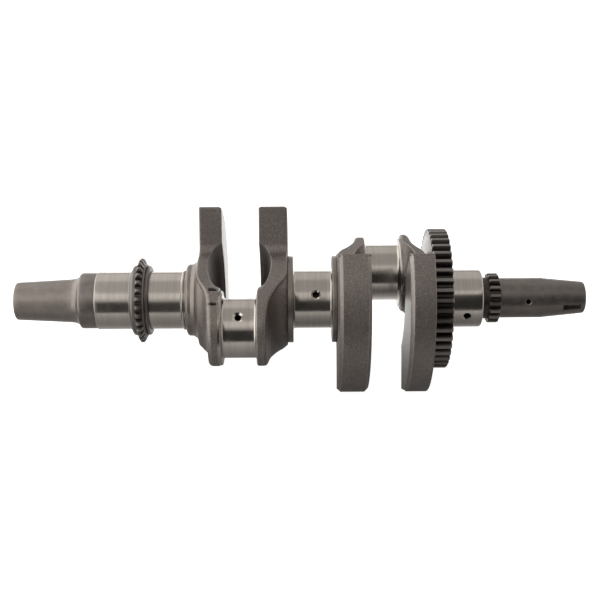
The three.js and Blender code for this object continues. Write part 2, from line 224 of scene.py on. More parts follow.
def turned_steel(name, light, dark, gloss):
    """Turned and heat-treated surface: satin, with visible tool lines and a mottled brown tone."""
    made, tree = material(name)
    place = object_coordinates(tree)
    fine = ring_lines(tree, place, 1800.0, 14.0)
    mottle = tree.noise(place, 160.0, 5.0, 0.62).step(0.3, 0.72)
    cloud = tree.noise(place, 28.0, 2.0, 0.5).step(0.3, 0.7)
    base = tree.mix(mottle * 0.6 + fine * 0.4, dark, light)
    base = tree.mix(cloud * 0.25, base, tuple(0.72 * c for c in dark))
    # Painted shade: the inside of an oil hole, below its countersink, is painted near-black.
    base = tree.mix(tree.attribute("bore_painted_shade"), base, BORE_PAINTED_SHADE)
    rough = gloss + mottle * 0.08
    metal(tree, base, rough, 0.9, tree.bump(fine * 0.7 + mottle * 0.3, 0.16, 0.00006))
    return made


def forged_steel(name):
    """Blasted forging: fine grain and soft lumps, lighter on the edges as rubbed wear and painted highlight,
    with machined flats.
    """
    made, tree = material(name)
    place = object_coordinates(tree)
    grain = tree.noise(place, 1000.0, 4.0, 0.7)
    lumps = tree.noise(place, 210.0, 4.0, 0.6)
    cloud = tree.noise(place, 30.0, 3.0, 0.55).step(0.3, 0.7)
    edge = tree.attribute("edge")
    machined = tree.attribute("machined")
    slot = tree.attribute("slot").step(0.35, 0.9)
    speck = grain.step(0.54, 0.70)
    base = tree.mix(grain.step(0.34, 0.66), FORGED_DARK, FORGED_LIGHT)
    base = tree.mix(cloud * 0.35, base, tuple(0.8 * c for c in FORGED_DARK))
    # Edges lighter: rubbed wear together with a painted highlight along the rounded edges.
    base = tree.mix(edge * (0.35 + speck * 0.4) + speck * 0.12, base, FORGED_EDGE_WEAR_AND_HIGHLIGHT)
    # Painted shade: the relief groove in the inner face darkens with its depth.
    base = tree.mix(tree.attribute("groove") * 0.62, base, GROOVE_PAINTED_SHADE)
    sweep = tree.noise(tree.stretched(place, (60.0, 260.0, 260.0)), 1.0, 3.0, 0.6)
    flat = tree.mix(sweep.step(0.3, 0.7), MACHINED_DARK, MACHINED_LIGHT)
    base = tree.mix(machined, base, flat)
    # Painted shade in the two slots of web 1's pad.
    base = tree.mix(slot * 0.7, base, SLOT_PAINTED_SHADE)
    rough = (0.45 - edge * 0.1 + lumps * 0.1) * (1 - machined) + machined * (0.30 + sweep * 0.1)
    height = (grain * 0.45 + lumps * 0.55) * (1 - machined) + machined * (0.5 + sweep * 0.04)
    metal(tree, base, rough, 0.85, tree.bump(height, 0.34, 0.00022))
    return made


def gear_steel(name):
    """Hobbed gear: dark between the teeth, with a painted highlight on the tips and on the edges."""
    made, tree = material(name)
    place = object_coordinates(tree)
    grain = tree.noise(place, 900.0, 3.0, 0.6)
    lines = ring_lines(tree, place, 1500.0, 60.0)
    tip = tree.attribute("tip")
    shade = tree.mix(grain.step(0.3, 0.7), GEAR_DARK, GEAR_MID)
    # Painted highlight on the tips of the teeth and on the plain circles; the rest keeps the dark tone.
    base = tree.mix(tip * (0.75 + grain * 0.25), shade, GEAR_PAINTED_HIGHLIGHT)
    face = tree.attribute("face")
    base = tree.mix(face, base, MACHINED_LIGHT)
    rough = 0.42 - tip * 0.08 + lines * 0.08 - face * 0.1
    metal(tree, base, rough, 0.95, tree.bump(grain * 0.5 + lines * 0.5, 0.12, 0.00005))
    return made


GROUND_LIGHT = (0.60, 0.555, 0.505)
GROUND_DARK = (0.53, 0.485, 0.44)
TURNED_LIGHT = (0.33, 0.295, 0.27)
TURNED_DARK = (0.235, 0.205, 0.187)
FORGED_LIGHT = (0.30, 0.265, 0.245)
FORGED_DARK = (0.18, 0.155, 0.143)
# Edge colour of the forging: rubbed wear and painted highlight.
FORGED_EDGE_WEAR_AND_HIGHLIGHT = (0.50, 0.465, 0.435)
# Colour of the painted shade in the relief grooves.
GROOVE_PAINTED_SHADE = (0.05, 0.043, 0.04)
# Colour of the painted shade in the pad's slots.
SLOT_PAINTED_SHADE = (0.02, 0.018, 0.017)
# Near-black painted as shade inside the oil holes.
BORE_PAINTED_SHADE = (0.012, 0.011, 0.01)
MACHINED_LIGHT = (0.52, 0.50, 0.48)
MACHINED_DARK = (0.38, 0.365, 0.35)
GEAR_DARK = (0.06, 0.052, 0.047)
GEAR_MID = (0.11, 0.097, 0.088)
# Colour of the painted highlight on gear tips and plain circles.
GEAR_PAINTED_HIGHLIGHT = (0.29, 0.262, 0.245)

GROUND = ground_steel("ground_steel", GROUND_LIGHT, GROUND_DARK, 0.19)
COLLAR = ground_steel("collar_steel", (0.56, 0.52, 0.485), (0.40, 0.365, 0.335), 0.24)
TURNED = turned_steel("turned_steel", TURNED_LIGHT, TURNED_DARK, 0.36)
SHAFT = turned_steel("flywheel_end_steel", (0.245, 0.218, 0.20), (0.17, 0.148, 0.135), 0.36)
SEAL = turned_steel("seal_land_steel", (0.30, 0.265, 0.245), (0.20, 0.172, 0.157), 0.33)
FORGED = forged_steel("forged_steel")
GEAR = gear_steel("gear_steel")
PLUG = ground_steel("plug_steel", (0.50, 0.48, 0.46), (0.36, 0.34, 0.32), 0.34)


# ------------------------------------------------------------------ meshes from grids
def grid_faces(rows, columns, join_rows):
    """Four-sided faces of a grid whose columns close on themselves, and whose rows do if join_rows."""
    i = np.arange(rows if join_rows else rows - 1)[:, None]
    j = np.arange(columns)[None, :]
    right = (j + 1) % columns
    below = (i + 1) % rows
    corners = [i * columns + j, below * columns + j, below * columns + right, i * columns + right]
    return np.stack([np.broadcast_to(c, (len(i), columns)) for c in corners], -1).reshape(-1, 4)


def caps(rows, columns, first_pole, last_pole):
    """Triangles from each end row to its pole point."""
    j = np.arange(columns)
    right = (j + 1) % columns
    last = (rows - 1) * columns
    start = np.stack([np.full(columns, first_pole), j, right], -1)
    end = np.stack([np.full(columns, last_pole), last + right, last + j], -1)
    return np.concatenate([start, end])


def signed_volume(points, quads, triangles):
    """Volume enclosed by the faces, positive when they point outwards."""
    fans = np.concatenate([quads[:, [0, 1, 2]], quads[:, [0, 2, 3]], triangles])
    a, b, c = (points[fans[:, k]] for k in range(3))
    return float(np.einsum("ij,ij->i", a, np.cross(b, c)).sum() / 6)


def piece(name, grid, look, nodes, attributes=None, ring=False, sharp=32.0):
    """Makes a closed mesh from a grid of points in millimetres and rides it on the shaft.

    Each row of the grid is a closed loop. The first and last rows shrink to a pole at their centre,
    or meet each other when ring is true. attributes holds one number for each grid point.
    """
    rows, columns = grid.shape[:2]
    points = grid.reshape(-1, 3)
    quads = grid_faces(rows, columns, ring)
    triangles = np.zeros((0, 3), int)
    values = {key: value.reshape(-1) for key, value in (attributes or {}).items()}
    if not ring:
        points = np.concatenate([points, grid[0].mean(0)[None], grid[-1].mean(0)[None]])
        triangles = caps(rows, columns, rows * columns, rows * columns + 1)
        values = {key: np.append(v, [v[0], v[-1]]) for key, v in values.items()}
    if signed_volume(points, quads, triangles) < 0:
        quads, triangles = quads[:, ::-1], triangles[:, ::-1]
    mesh = bpy.data.meshes.new(name)
    mesh.vertices.add(len(points))
    mesh.vertices.foreach_set("co", (points * MM).astype(np.float32).ravel())
    corners = np.concatenate([quads.ravel(), triangles.ravel()]).astype(np.int32)
    starts = np.concatenate([np.arange(len(quads)) * 4, len(quads) * 4 + np.arange(len(triangles)) * 3])
    mesh.loops.add(len(corners))
    mesh.loops.foreach_set("vertex_index", corners)
    mesh.polygons.add(len(starts))
    mesh.polygons.foreach_set("loop_start", starts.astype(np.int32))
    mesh.update(calc_edges=True)
    for key, value in values.items():
        mesh.attributes.new(key, "FLOAT", "POINT").data.foreach_set("value", value.astype(np.float32))
    mesh.shade_smooth()
    mesh.set_sharp_from_angle(angle=math.radians(sharp))
    mesh.materials.append(look)
    made = bpy.data.objects.new(name, mesh)
    bpy.context.scene.collection.objects.link(made)
    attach(made, "root")
    if nodes:
        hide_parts(*nodes)
    return made


# ------------------------------------------------------------------ turned pieces
CORNER_STEPS = 6
AROUND = 144


def rounded(corners):
    """A profile of (x, radius) whose corners are arcs: each corner is (x, radius, arc radius)."""
    made = []
    for k, (x, r, arc) in enumerate(corners):
        here = np.array([x, r], float)
        if arc <= 0 or k in (0, len(corners) - 1):
            made.append(here)
            continue
        before = np.array(corners[k - 1][:2], float) - here
        after = np.array(corners[k + 1][:2], float) - here
        u, v = before / np.linalg.norm(before), after / np.linalg.norm(after)
        half = math.acos(np.clip(u @ v, -1, 1)) / 2
        cut = arc / math.tan(half)
        centre = here + (u + v) / np.linalg.norm(u + v) * (arc / math.sin(half))
        start, end = here + u * cut - centre, here + v * cut - centre
        sweep = math.pi - 2 * half
        for t in np.linspace(0, 1, CORNER_STEPS):
            weights = math.sin((1 - t) * sweep), math.sin(t * sweep)
            made.append(centre + (start * weights[0] + end * weights[1]) / math.sin(sweep))
    return np.array(made)


def filled(profile, longest):
    """The profile with points added so that no step is longer than the given length."""
    made = [profile[0]]
    for a, b in zip(profile[:-1], profile[1:]):
        count = max(1, math.ceil(np.linalg.norm(b - a) / longest))
        made += [a + (b - a) * k / count for k in range(1, count + 1)]
    return np.array(made)


def lines_around(lines, centre, offsets):
    """Grid lines, with those near a hole's centre replaced by lines at its own offsets."""
    kept = lines[np.abs(lines - centre) > offsets[-1] * 1.02]
    return np.sort(np.concatenate([kept, centre + offsets, centre - offsets[1:]]))


HOLE_DEPTH = 7.0


class Hole:
    """An oil hole drilled towards the axis, with a countersink."""

    def __init__(self, x, angle, radius, sink=1.1):
        self.x = x
        self.angle = math.radians(180 - angle)
        self.radius = radius
        self.sink = sink
        inside = radius * np.array([0, 0.5, 0.92, 0.97])
        rim = radius + sink * np.array([0, 0.5, 0.9, 1.0, 1.15])
        self.offsets = np.concatenate([inside, rim, radius + sink + np.array([0.8, 1.6, 2.6, 3.6])])

    def cut(self, x, angle, surface):
        """Moves grid points near the hole onto circles round it and sinks those inside.

        A point's distance is the larger of its two offsets, so squares of grid lines become circles;
        the depth follows that distance: flat bottom, straight wall, then the countersink's cone.
        """
        dx = x - self.x
        ds = (angle - self.angle) * surface
        size = np.maximum(np.abs(dx), np.abs(ds))
        true = np.maximum(np.hypot(dx, ds), 1e-9)
        weight = np.clip((self.offsets[-1] - size) / 2.4, 0, 1)
        weight = weight * weight * (3 - 2 * weight)
        scale = weight * size / true + (1 - weight)
        radius, sink = self.radius, self.sink
        reach = [0, 0.97 * radius, radius, radius + sink]
        depth = np.interp(size, reach, [HOLE_DEPTH, HOLE_DEPTH, 0.8 * sink, 0])
        near = size <= self.offsets[-1] + 1e-6
        return (np.where(near, self.x + dx * scale, x),
                np.where(near, self.angle + ds * scale / surface, angle),
                np.where(near, depth, 0))


def turned(name, corners, look, nodes, y=0.0, hole=None, longest=4.0):
    """A turned piece: the profile of (x, radius) carried round the line at height y.

    Point = (x, y + r cos a, r sin a) for every profile point and every angle a.
    """
    profile = filled(rounded(corners), longest)
    x, r = profile[:, 0], profile[:, 1]
    angle = np.arange(AROUND) * TURN / AROUND
    if hole:
        surface = min(JOURNAL_R, float(r.max()))
        level = (np.abs(x - hole.x) < hole.offsets[-1] + 4) & (np.abs(r - surface) < 0.5)
        body = np.flatnonzero(level)
        lines = lines_around(x[body[0]:body[-1] + 1], hole.x, hole.offsets)
        radii = np.interp(lines, x, r)
        x = np.concatenate([x[:body[0]], lines, x[body[-1] + 1:]])
        r = np.concatenate([r[:body[0]], radii, r[body[-1] + 1:]])
        angle = (np.arange(AROUND) + 0.5) * TURN / AROUND + hole.angle - math.pi
        angle = lines_around(angle, hole.angle, hole.offsets / surface)
    xx, aa = np.meshgrid(x, angle, indexing="ij")
    rr = np.repeat(r[:, None], len(angle), 1)
    attributes = {}
    if hole:
        on_level = np.abs(rr - surface) < 0.5
        cut_x, cut_a, depth = hole.cut(xx, aa, surface)
        xx = np.where(on_level, cut_x, xx)
        aa = np.where(on_level, cut_a, aa)
        rr = rr - np.where(on_level, depth, 0)
        # Marks the inside of the hole below the countersink, where near-black is painted as shade.
        attributes["bore_painted_shade"] = np.where(on_level & (depth > hole.sink), 1.0, 0.0)
    grid = np.stack([xx, y + rr * np.cos(aa), rr * np.sin(aa)], -1)
    return piece(name, grid, look, nodes, attributes)


THREAD_PITCH = 1.25
THREAD_HEIGHT = 0.65
BORE_MOUTH = 1.2


def threaded_bore(x_mouth, x_bottom, radius):
    """Corners of a bolt bore seen from its mouth, with thread crests and roots as V-shaped rings."""
    sign = 1 if x_bottom > x_mouth else -1
    corners = [(x_mouth, radius + BORE_MOUTH, 0), (x_mouth + sign * BORE_MOUTH, radius, 0)]
    count = int((abs(x_bottom - x_mouth) - 3) / THREAD_PITCH)
    crest = radius - THREAD_HEIGHT
    for k in range(count):
        start = x_mouth + sign * (BORE_MOUTH + k * THREAD_PITCH)
        corners += [(start + sign * share * THREAD_PITCH, r, 0)
                    for share, r in ((0.25, crest), (0.5, crest), (0.95, radius))]
    corners += [(x_bottom, radius - 0.7, 0), (x_bottom + sign * 3, 0.3, 0)]
    return corners


NOSE = span("pto_taper_nose")
SEAL_X = span("pto_seal_land")
OUTER = span("pto_outer_journal")
PTO_COLLAR = span("pto_thrust_collar")
INNER = (span("pto_inner_journal")[0], PTO_COLLAR[0])
LEFT_COLLAR = span("centre_thrust_collar_left")
RIGHT_COLLAR = span("centre_thrust_collar_right")
CENTRE = (LEFT_COLLAR[1], RIGHT_COLLAR[0])
PIN_1 = (span("web_1")[1], span("web_2")[0])
PIN_2 = (span("web_3")[1], 77.4)
GEAR_X = span("balancer_drive_gear")
FLYWHEEL_J = span("flywheel_main_journal")
RING_X = (-89.2, -86.8)  # a low ring on the journal beside the collar
RING_R = 22.9
SHOULDER_X = 137.7
NECK_R = 15.7
CENTRE_COLLAR_R = 33.0
PTO_BOLT_DEPTH = 40
PUMP_X = span("oil_pump_drive_gear")
SHAFT_X = span("starter_clutch_shaft")
TAPER_X = span("flywheel_taper")

nose_bore = threaded_bore(NOSE[0], NOSE[0] + PTO_BOLT_DEPTH, BOLT_BORE_R)[::-1]
turned("pto_taper_nose_turned", [
    *nose_bore, (NOSE[0], 14.3, 1.1), (-174.5, 16.5, 0), (-171.6, 16.95, 4), (-168.2, 18.2, 5),
    (-166.6, 20.9, 0.5), (NOSE[1], 21.2, 0), (NOSE[1], 5.0, 0),
], TURNED, ["pto_taper_nose"], longest=3.0)
turned("pto_seal_land_turned", [
    (SEAL_X[0], CORE_R, 0), (SEAL_X[0], 21.3, 0.35), (SEAL_X[1], 21.3, 0), (SEAL_X[1], CORE_R, 0),
], SEAL, ["pto_seal_land"])
turned("pto_outer_journal_ground", [
    (OUTER[0], CORE_R, 0), (OUTER[0], JOURNAL_R, 0.7), (OUTER[1], JOURNAL_R, 0), (OUTER[1], CORE_R, 0),
], GROUND, ["pto_outer_journal"])
turned("pto_inner_journal_ground", [
    (INNER[0], CORE_R, 0), (INNER[0], JOURNAL_R, 0), (RING_X[0], JOURNAL_R, 0.4),
    (RING_X[0] + 0.8, RING_R, 0.5), (RING_X[1] - 0.4, RING_R, 0.3), (RING_X[1], JOURNAL_R, 0),
    (INNER[1], JOURNAL_R, 0), (INNER[1], CORE_R, 0),
], GROUND, ["pto_inner_journal"])
turned("pto_thrust_collar_turned", [
    (PTO_COLLAR[0], CORE_R, 0), (PTO_COLLAR[0], JOURNAL_R, 0), (PTO_COLLAR[0], 27.4, 2.2),
    (-81.4, 27.4, 1.5), (-78.4, 29.2, 2.0), (PTO_COLLAR[1], 33.0, 0), (PTO_COLLAR[1], CORE_R, 0),
], TURNED, ["pto_thrust_collar"])
turned("centre_collar_left_turned", [
    (LEFT_COLLAR[0], CORE_R, 0), (LEFT_COLLAR[0], CENTRE_COLLAR_R, 0.5),
    (LEFT_COLLAR[1], CENTRE_COLLAR_R, 0.5), (LEFT_COLLAR[1], CORE_R, 0),
], TURNED, ["centre_thrust_collar_left"])
turned("centre_collar_right_turned", [
    (RIGHT_COLLAR[0], CORE_R, 0), (RIGHT_COLLAR[0], CENTRE_COLLAR_R, 0.5),
    (RIGHT_COLLAR[1], CENTRE_COLLAR_R, 0.5), (RIGHT_COLLAR[1], CORE_R, 0),
], TURNED, ["centre_thrust_collar_right"])


def filleted(limits):
    """Profile corners of a journal with a concave fillet at each end."""
    left, right = limits
    return [(left, CORE_R, 0), (left, 24, 0), (left + 0.05, 24, 0), (left + 0.1, JOURNAL_R, 1.8),
            (right - 0.1, JOURNAL_R, 1.8), (right - 0.05, 24, 0), (right, 24, 0), (right, CORE_R, 0)]


turned("centre_main_journal_ground", filleted(CENTRE), GROUND, ["centre_main_journal"],
       hole=Hole(11.8, 43, 2.5))
turned("crankpin_1_ground", filleted(PIN_1), GROUND, ["crankpin_1"],
       y=-THROW, hole=Hole(-44.8, 56.7, 2.5, sink=1.5))
turned("crankpin_2_ground", filleted(PIN_2), GROUND, ["crankpin_2"],
       y=THROW, hole=Hole(63.4, 236.7, 2.5, sink=1.5))
turned("flywheel_main_journal_ground", [
    (FLYWHEEL_J[0], CORE_R, 0), (FLYWHEEL_J[0], JOURNAL_R, 0), (SHOULDER_X, JOURNAL_R, 1.8),
    (SHOULDER_X, CORE_R, 0),
], GROUND, ["flywheel_main_journal"], hole=Hole(125.3, -4, 2.6, sink=0.6))
turned("flywheel_journal_neck", [
    (SHOULDER_X, CORE_R, 0), (SHOULDER_X, 16.9, 0), (SHOULDER_X + 1.2, NECK_R, 0.8),
    (FLYWHEEL_J[1], NECK_R, 0), (FLYWHEEL_J[1], CORE_R, 0),
], GEAR, [])
turned("starter_clutch_shaft_turned", [
    (SHAFT_X[0], CORE_R, 0), (SHAFT_X[0], SHAFT_R, 0), (SHAFT_X[1], SHAFT_R, 0), (SHAFT_X[1], CORE_R, 0),
], SHAFT, ["starter_clutch_shaft"], hole=Hole(172.2, 22, 2.0, sink=0.6))


KEYWAY_X = (199.3, 212.6)
KEYWAY_HALF_WIDTH = 2.3
KEYWAY_FLOOR = 9.6
KEYWAY_LIP = 0.12
TAPER_MEAN_R = 12.9


def flywheel_taper():
    """The flywheel's taper with its bolt bore, and a key slot sunk in the -Y side.

    The slot is a rectangle of grid points lowered to a flat floor.
    """
    left, right = TAPER_X
    bore = threaded_bore(right, left + 4, BOLT_BORE_R)
    profile = filled(rounded([(left, CORE_R, 0), (left, SHAFT_R, 0), (right, 11.95, 1.1), *bore]), 2.5)
    x, r = profile[:, 0], profile[:, 1]
    slot_left, slot_right = KEYWAY_X
    half, lip = KEYWAY_HALF_WIDTH, KEYWAY_LIP
    outside = (np.arange(len(x)) < np.argmax(x)) & (r > 11)
    lines = np.concatenate([x[outside], np.linspace(slot_left, slot_right, 14),
                            [slot_left - lip, slot_left - 1, slot_right + lip]])
    lines = np.sort(lines[(lines < slot_right + 0.5)])
    outer_r = np.interp(lines, x[outside], r[outside])
    after = x[outside] > slot_right + 0.5
    first = np.flatnonzero(outside)[0]
    last = np.flatnonzero(outside)[-1]
    x = np.concatenate([x[:first], lines, x[outside][after], x[last + 1:]])
    r = np.concatenate([r[:first], outer_r, r[outside][after], r[last + 1:]])
    on_outside = (np.arange(len(x)) >= first) & (np.arange(len(x)) < first + len(lines) + after.sum())
    offsets = np.array([0, 0.8, 1.6, half - lip, half, half + lip, half + 0.6, half + 1.2])
    angle = lines_around((np.arange(120) + 0.5) * TURN / 120, math.pi, offsets / TAPER_MEAN_R)
    xx, aa = np.meshgrid(x, angle, indexing="ij")
    rr = np.repeat(r[:, None], len(angle), 1)
    across = (aa - math.pi) * TAPER_MEAN_R
    within = np.abs(across) <= half + 1e-6
    inside = within & (xx >= slot_left - 1e-6) & (xx <= slot_right + 1e-6) & on_outside[:, None]
    rr = np.where(inside, KEYWAY_FLOOR / np.maximum(np.cos(aa - math.pi), 0.5), rr)
    grid = np.stack([xx, rr * np.cos(aa), rr * np.sin(aa)], -1)
    return piece("flywheel_taper_turned", grid, SHAFT, ["flywheel_taper"])


flywheel_taper()


# ------------------------------------------------------------------ toothed wheels
FLANK_STEPS = 6


def tooth_outline(teeth, root_r, tip_r, root_half, tip_half):
    """Angles and radii of a wheel's outline, and how near each point is to the tip.

    A flank's half width shrinks from the root to the tip ever faster, as an involute does.
    """
    rise = np.linspace(0, 1, FLANK_STEPS)
    half = tip_half + (root_half - tip_half) * (1 - rise**1.6)
    flank_r = root_r + (tip_r - root_r) * rise
    share = np.concatenate([[-0.5], -half, [0.0], half[::-1]])
    radius = np.concatenate([[root_r], flank_r, [tip_r], flank_r[::-1]])
    high = np.concatenate([[0], rise, [1], rise[::-1]])
    angle = ((np.arange(teeth)[:, None] + share[None, :]) * TURN / teeth).ravel()
    return angle, np.tile(radius, teeth), np.tile(high, teeth)


def wheel(name, outline, rows, node, bright_x=None):
    """A toothed ring: each row is (x, kind, radius), a circle or the tooth outline held below a radius.

    Rows at bright_x are machined bright.
    """
    angle, radius, high = outline
    grid, painted_highlight_rows, faces = [], [], []
    for x, kind, limit in rows:
        r = np.minimum(radius, limit) if kind == "teeth" else np.full_like(radius, limit)
        grid.append(np.stack([np.full_like(r, x), r * np.cos(angle), r * np.sin(angle)], -1))
        # weight of the painted highlight: rising sharply to the tips, and 0.8 on the plain circles
        painted_highlight_rows.append(np.clip(high, 0, 1) ** 5 if kind == "teeth" else np.full_like(r, 0.8))
        faces.append(np.full_like(r, 1.0 if x == bright_x else 0.0))
    attributes = {"tip": np.array(painted_highlight_rows), "face": np.array(faces)}
    return piece(name, np.array(grid), GEAR, [node], attributes, ring=True, sharp=24.0)


def balancer_gear():
    """A plain spur gear with a bright machined face on its left side."""
    left, right = GEAR_X
    outline = tooth_outline(44, 48.1, 53.15, 0.37, 0.15)
    rows = [(left, "circle", 23.0), (left, "circle", 45.5), (left, "teeth", 52.5)]
    rows += [(left + 0.1, "teeth", 52.6), (left + 0.7, "teeth", 60)]
    rows += [(x, "teeth", 60) for x in np.linspace(left + 2.5, right - 2.5, 5)]
    rows += [(right - 0.7, "teeth", 60), (right, "teeth", 52.5)]
    rows += [(right, "circle", 45.5), (right, "circle", 23.0)]
    rows += [(right - 0.7, "circle", 22.3), (left + 0.7, "circle", 22.3)]
    wheel("balancer_drive_gear_hobbed", outline, rows, "balancer_drive_gear", left)


def cam_sprocket():
    """A thin toothed disc between two collars, with a lip on the left and a groove on the right."""
    left, right = span("cam_chain_sprocket")
    outline = tooth_outline(30, 28.4, 32.2, 0.39, 0.13)
    arc = np.linspace(0, math.pi / 2, 6)
    lip = left + 1.3
    rows = [(left, "circle", 22.4), (left, "circle", 22.9), (left + 0.3, "circle", 23.2)]
    rows += [(lip, "circle", 23.2), (lip, "circle", 24.7)]
    rows += [(lip + 2.2 * (1 - math.cos(a)), "circle", 24.7 + 2.2 * math.sin(a)) for a in arc]
    rows += [(-122.9, "circle", 26.9), (-122.8, "circle", 27.6), (-122.7, "teeth", 28.6)]
    rows += [(-122.2, "teeth", 30.2), (-121.5, "teeth", 31.5), (-121.0, "teeth", 40), (-119.6, "teeth", 40)]
    rows += [(-119.0, "teeth", 31.5), (-118.2, "teeth", 29.9), (-117.4, "teeth", 28.4)]
    rows += [(-117.2, "circle", 27.8), (-116.2, "circle", 27.2), (-116.0, "circle", 25.2)]
    rows += [(-115.4, "circle", 25.2), (-115.3, "circle", 26.3)]
    rows += [(right - 1.5 * (1 - math.sin(a)), "circle", 25.0 + 1.5 * math.cos(a)) for a in arc]
    rows += [(right, "circle", 22.4), (right - 0.3, "circle", 22.3), (left + 0.1, "circle", 22.3)]
    wheel("cam_chain_sprocket_hobbed", outline, rows, "cam_chain_sprocket", left + 0.3)


def pump_gear():
    """Teeth cut in the shaft, which run out towards the clutch shaft."""
    left, right = PUMP_X
    outline = tooth_outline(18, 15.2, 18.9, 0.36, 0.14)
    rows = [(left, "circle", 3.0), (left, "circle", 14.0), (left, "teeth", 18.2), (left + 0.7, "teeth", 30)]
    rows += [(x, "teeth", 30) for x in np.linspace(left + 2, right - 3.0, 4)]
    rows += [(right - 2.0, "teeth", 30), (right - 1.4, "teeth", 17.2), (right - 1.0, "teeth", 15.3)]
    rows += [(right - 0.6, "circle", 15.2), (right, "circle", 15.15)]
    rows += [(right, "circle", 14.0), (right, "circle", 3.0)]
    wheel("oil_pump_drive_gear_hobbed", outline, rows, "oil_pump_drive_gear")


balancer_gear()
cam_sprocket()
pump_gear()


# ------------------------------------------------------------------ webs
FAN_CORNER_R = 1.2
GROOVE_DEPTH = 9.7
SLOT_DEPTH, PAD_DEPTH = 2.2, 0.5
# How much the webs' rounded edges are lightened, as wear and painted highlight, on the inner and outer
# sides.
INNER_WEAR_AND_HIGHLIGHT, OUTER_WEAR_AND_HIGHLIGHT = 0.7, 0.25
INNER_EDGE, INNER_RIM_EDGE = 0.5, 2.4
STAR_CENTRE = np.array([-20.0, 0.0])


def arc_points(centre, radius, start, end, count):
    angles = np.linspace(start, end, count, endpoint=False)
    return np.asarray(centre) + radius * np.stack([np.cos(angles), np.sin(angles)], -1)


def web_outline(lobe_r):
    """Outline of a web, pin towards +p: lobe, flank, hub, fillet, fan end, fan rim, and the same mirrored.

    Gives the points, their outward normals and a mask that is 1 on the fan's rim.
    """
    flank = math.acos((HUB_R - lobe_r) / THROW)
    reach = HUB_R + WEB_FILLET_R
    fillet = FAN_END - math.asin(WEB_FILLET_R / reach)
    corner_reach = FAN_R - FAN_CORNER_R
    corner = FAN_END + math.asin(FAN_CORNER_R / corner_reach)
    on_end = np.array([math.cos(FAN_END), math.sin(FAN_END)])
    fillet_centre = reach * np.array([math.cos(fillet), math.sin(fillet)])
    corner_centre = corner_reach * np.array([math.cos(corner), math.sin(corner)])
    tangent = np.array([math.cos(flank), math.sin(flank)])
    lobe_end = np.array([THROW, 0]) + lobe_r * tangent
    along = np.linspace(0, 1, 44, endpoint=False)[:, None]
    end_start = on_end * math.sqrt(reach**2 - WEB_FILLET_R**2)
    end_stop = on_end * math.sqrt(corner_reach**2 - FAN_CORNER_R**2)
    down = np.linspace(0, 1, 28, endpoint=False)[:, None]
    upper = np.concatenate([
        arc_points((THROW, 0), lobe_r, 0, flank, 45),
        lobe_end + (HUB_R * tangent - lobe_end) * along,
        arc_points((0, 0), HUB_R, flank, fillet, 22),
        arc_points(fillet_centre, WEB_FILLET_R, fillet + math.pi, FAN_END + math.pi / 2, 14),
        end_start + (end_stop - end_start) * down,
        arc_points(corner_centre, FAN_CORNER_R, FAN_END - math.pi / 2, corner, 6),
        arc_points((0, 0), FAN_R, corner, math.pi, 46),
    ])
    rim = np.hypot(*upper.T) > FAN_R - 0.3
    lower = upper[1:][::-1] * [1, -1]
    points = np.concatenate([upper, [[-FAN_R, 0]], lower])
    mask = np.concatenate([rim, [True], rim[1:][::-1]]).astype(float)
    chord = np.roll(points, -1, 0) - np.roll(points, 1, 0)
    normals = np.stack([chord[:, 1], -chord[:, 0]], -1)
    return points, normals / np.linalg.norm(normals, axis=1)[:, None], mask


def softened(values, width):
    """A closed row of values averaged over its neighbours."""
    return sum(np.roll(values, k, 0) for k in range(-width, width + 1)) / (2 * width + 1)


def relief_depth(radius, half_width, lobe_face):
    """Depth of the groove in the inner face: half an ellipse in section, concentric with the pin.

    Within the groove the face round the pin lies at the depth of the lobe's own face.
    """
    def depth(p, q):
        distance = np.hypot(p - THROW, q)
        offsets = np.linspace(-0.6, 0.6, 7)
        across = [(distance + d - radius) / half_width for d in offsets]
        groove = sum(GROOVE_DEPTH * np.sqrt(np.maximum(1 - u * u, 0)) for u in across) / len(offsets)
        lobe = lobe_face * np.clip((radius - half_width + 1.5 - distance) / 1.5, 0, 1)
        return np.maximum(groove, lobe)

    return depth


def slope_depth(table, thickness):
    """Depth of the outer side against the distance from the crank axis, rounded over a few millimetres."""
    depths, radii = np.array(table).T

    def depth(p, q):
        distance = np.hypot(p, q)
        steps = np.linspace(-1.6, 1.6, 7)
        smooth = sum(np.interp(distance + d, radii[::-1], depths[::-1]) for d in steps) / len(steps)
        inside = np.clip(p / 6, 0, 1)
        return np.minimum(thickness, smooth * inside + thickness * (1 - inside))

    return depth


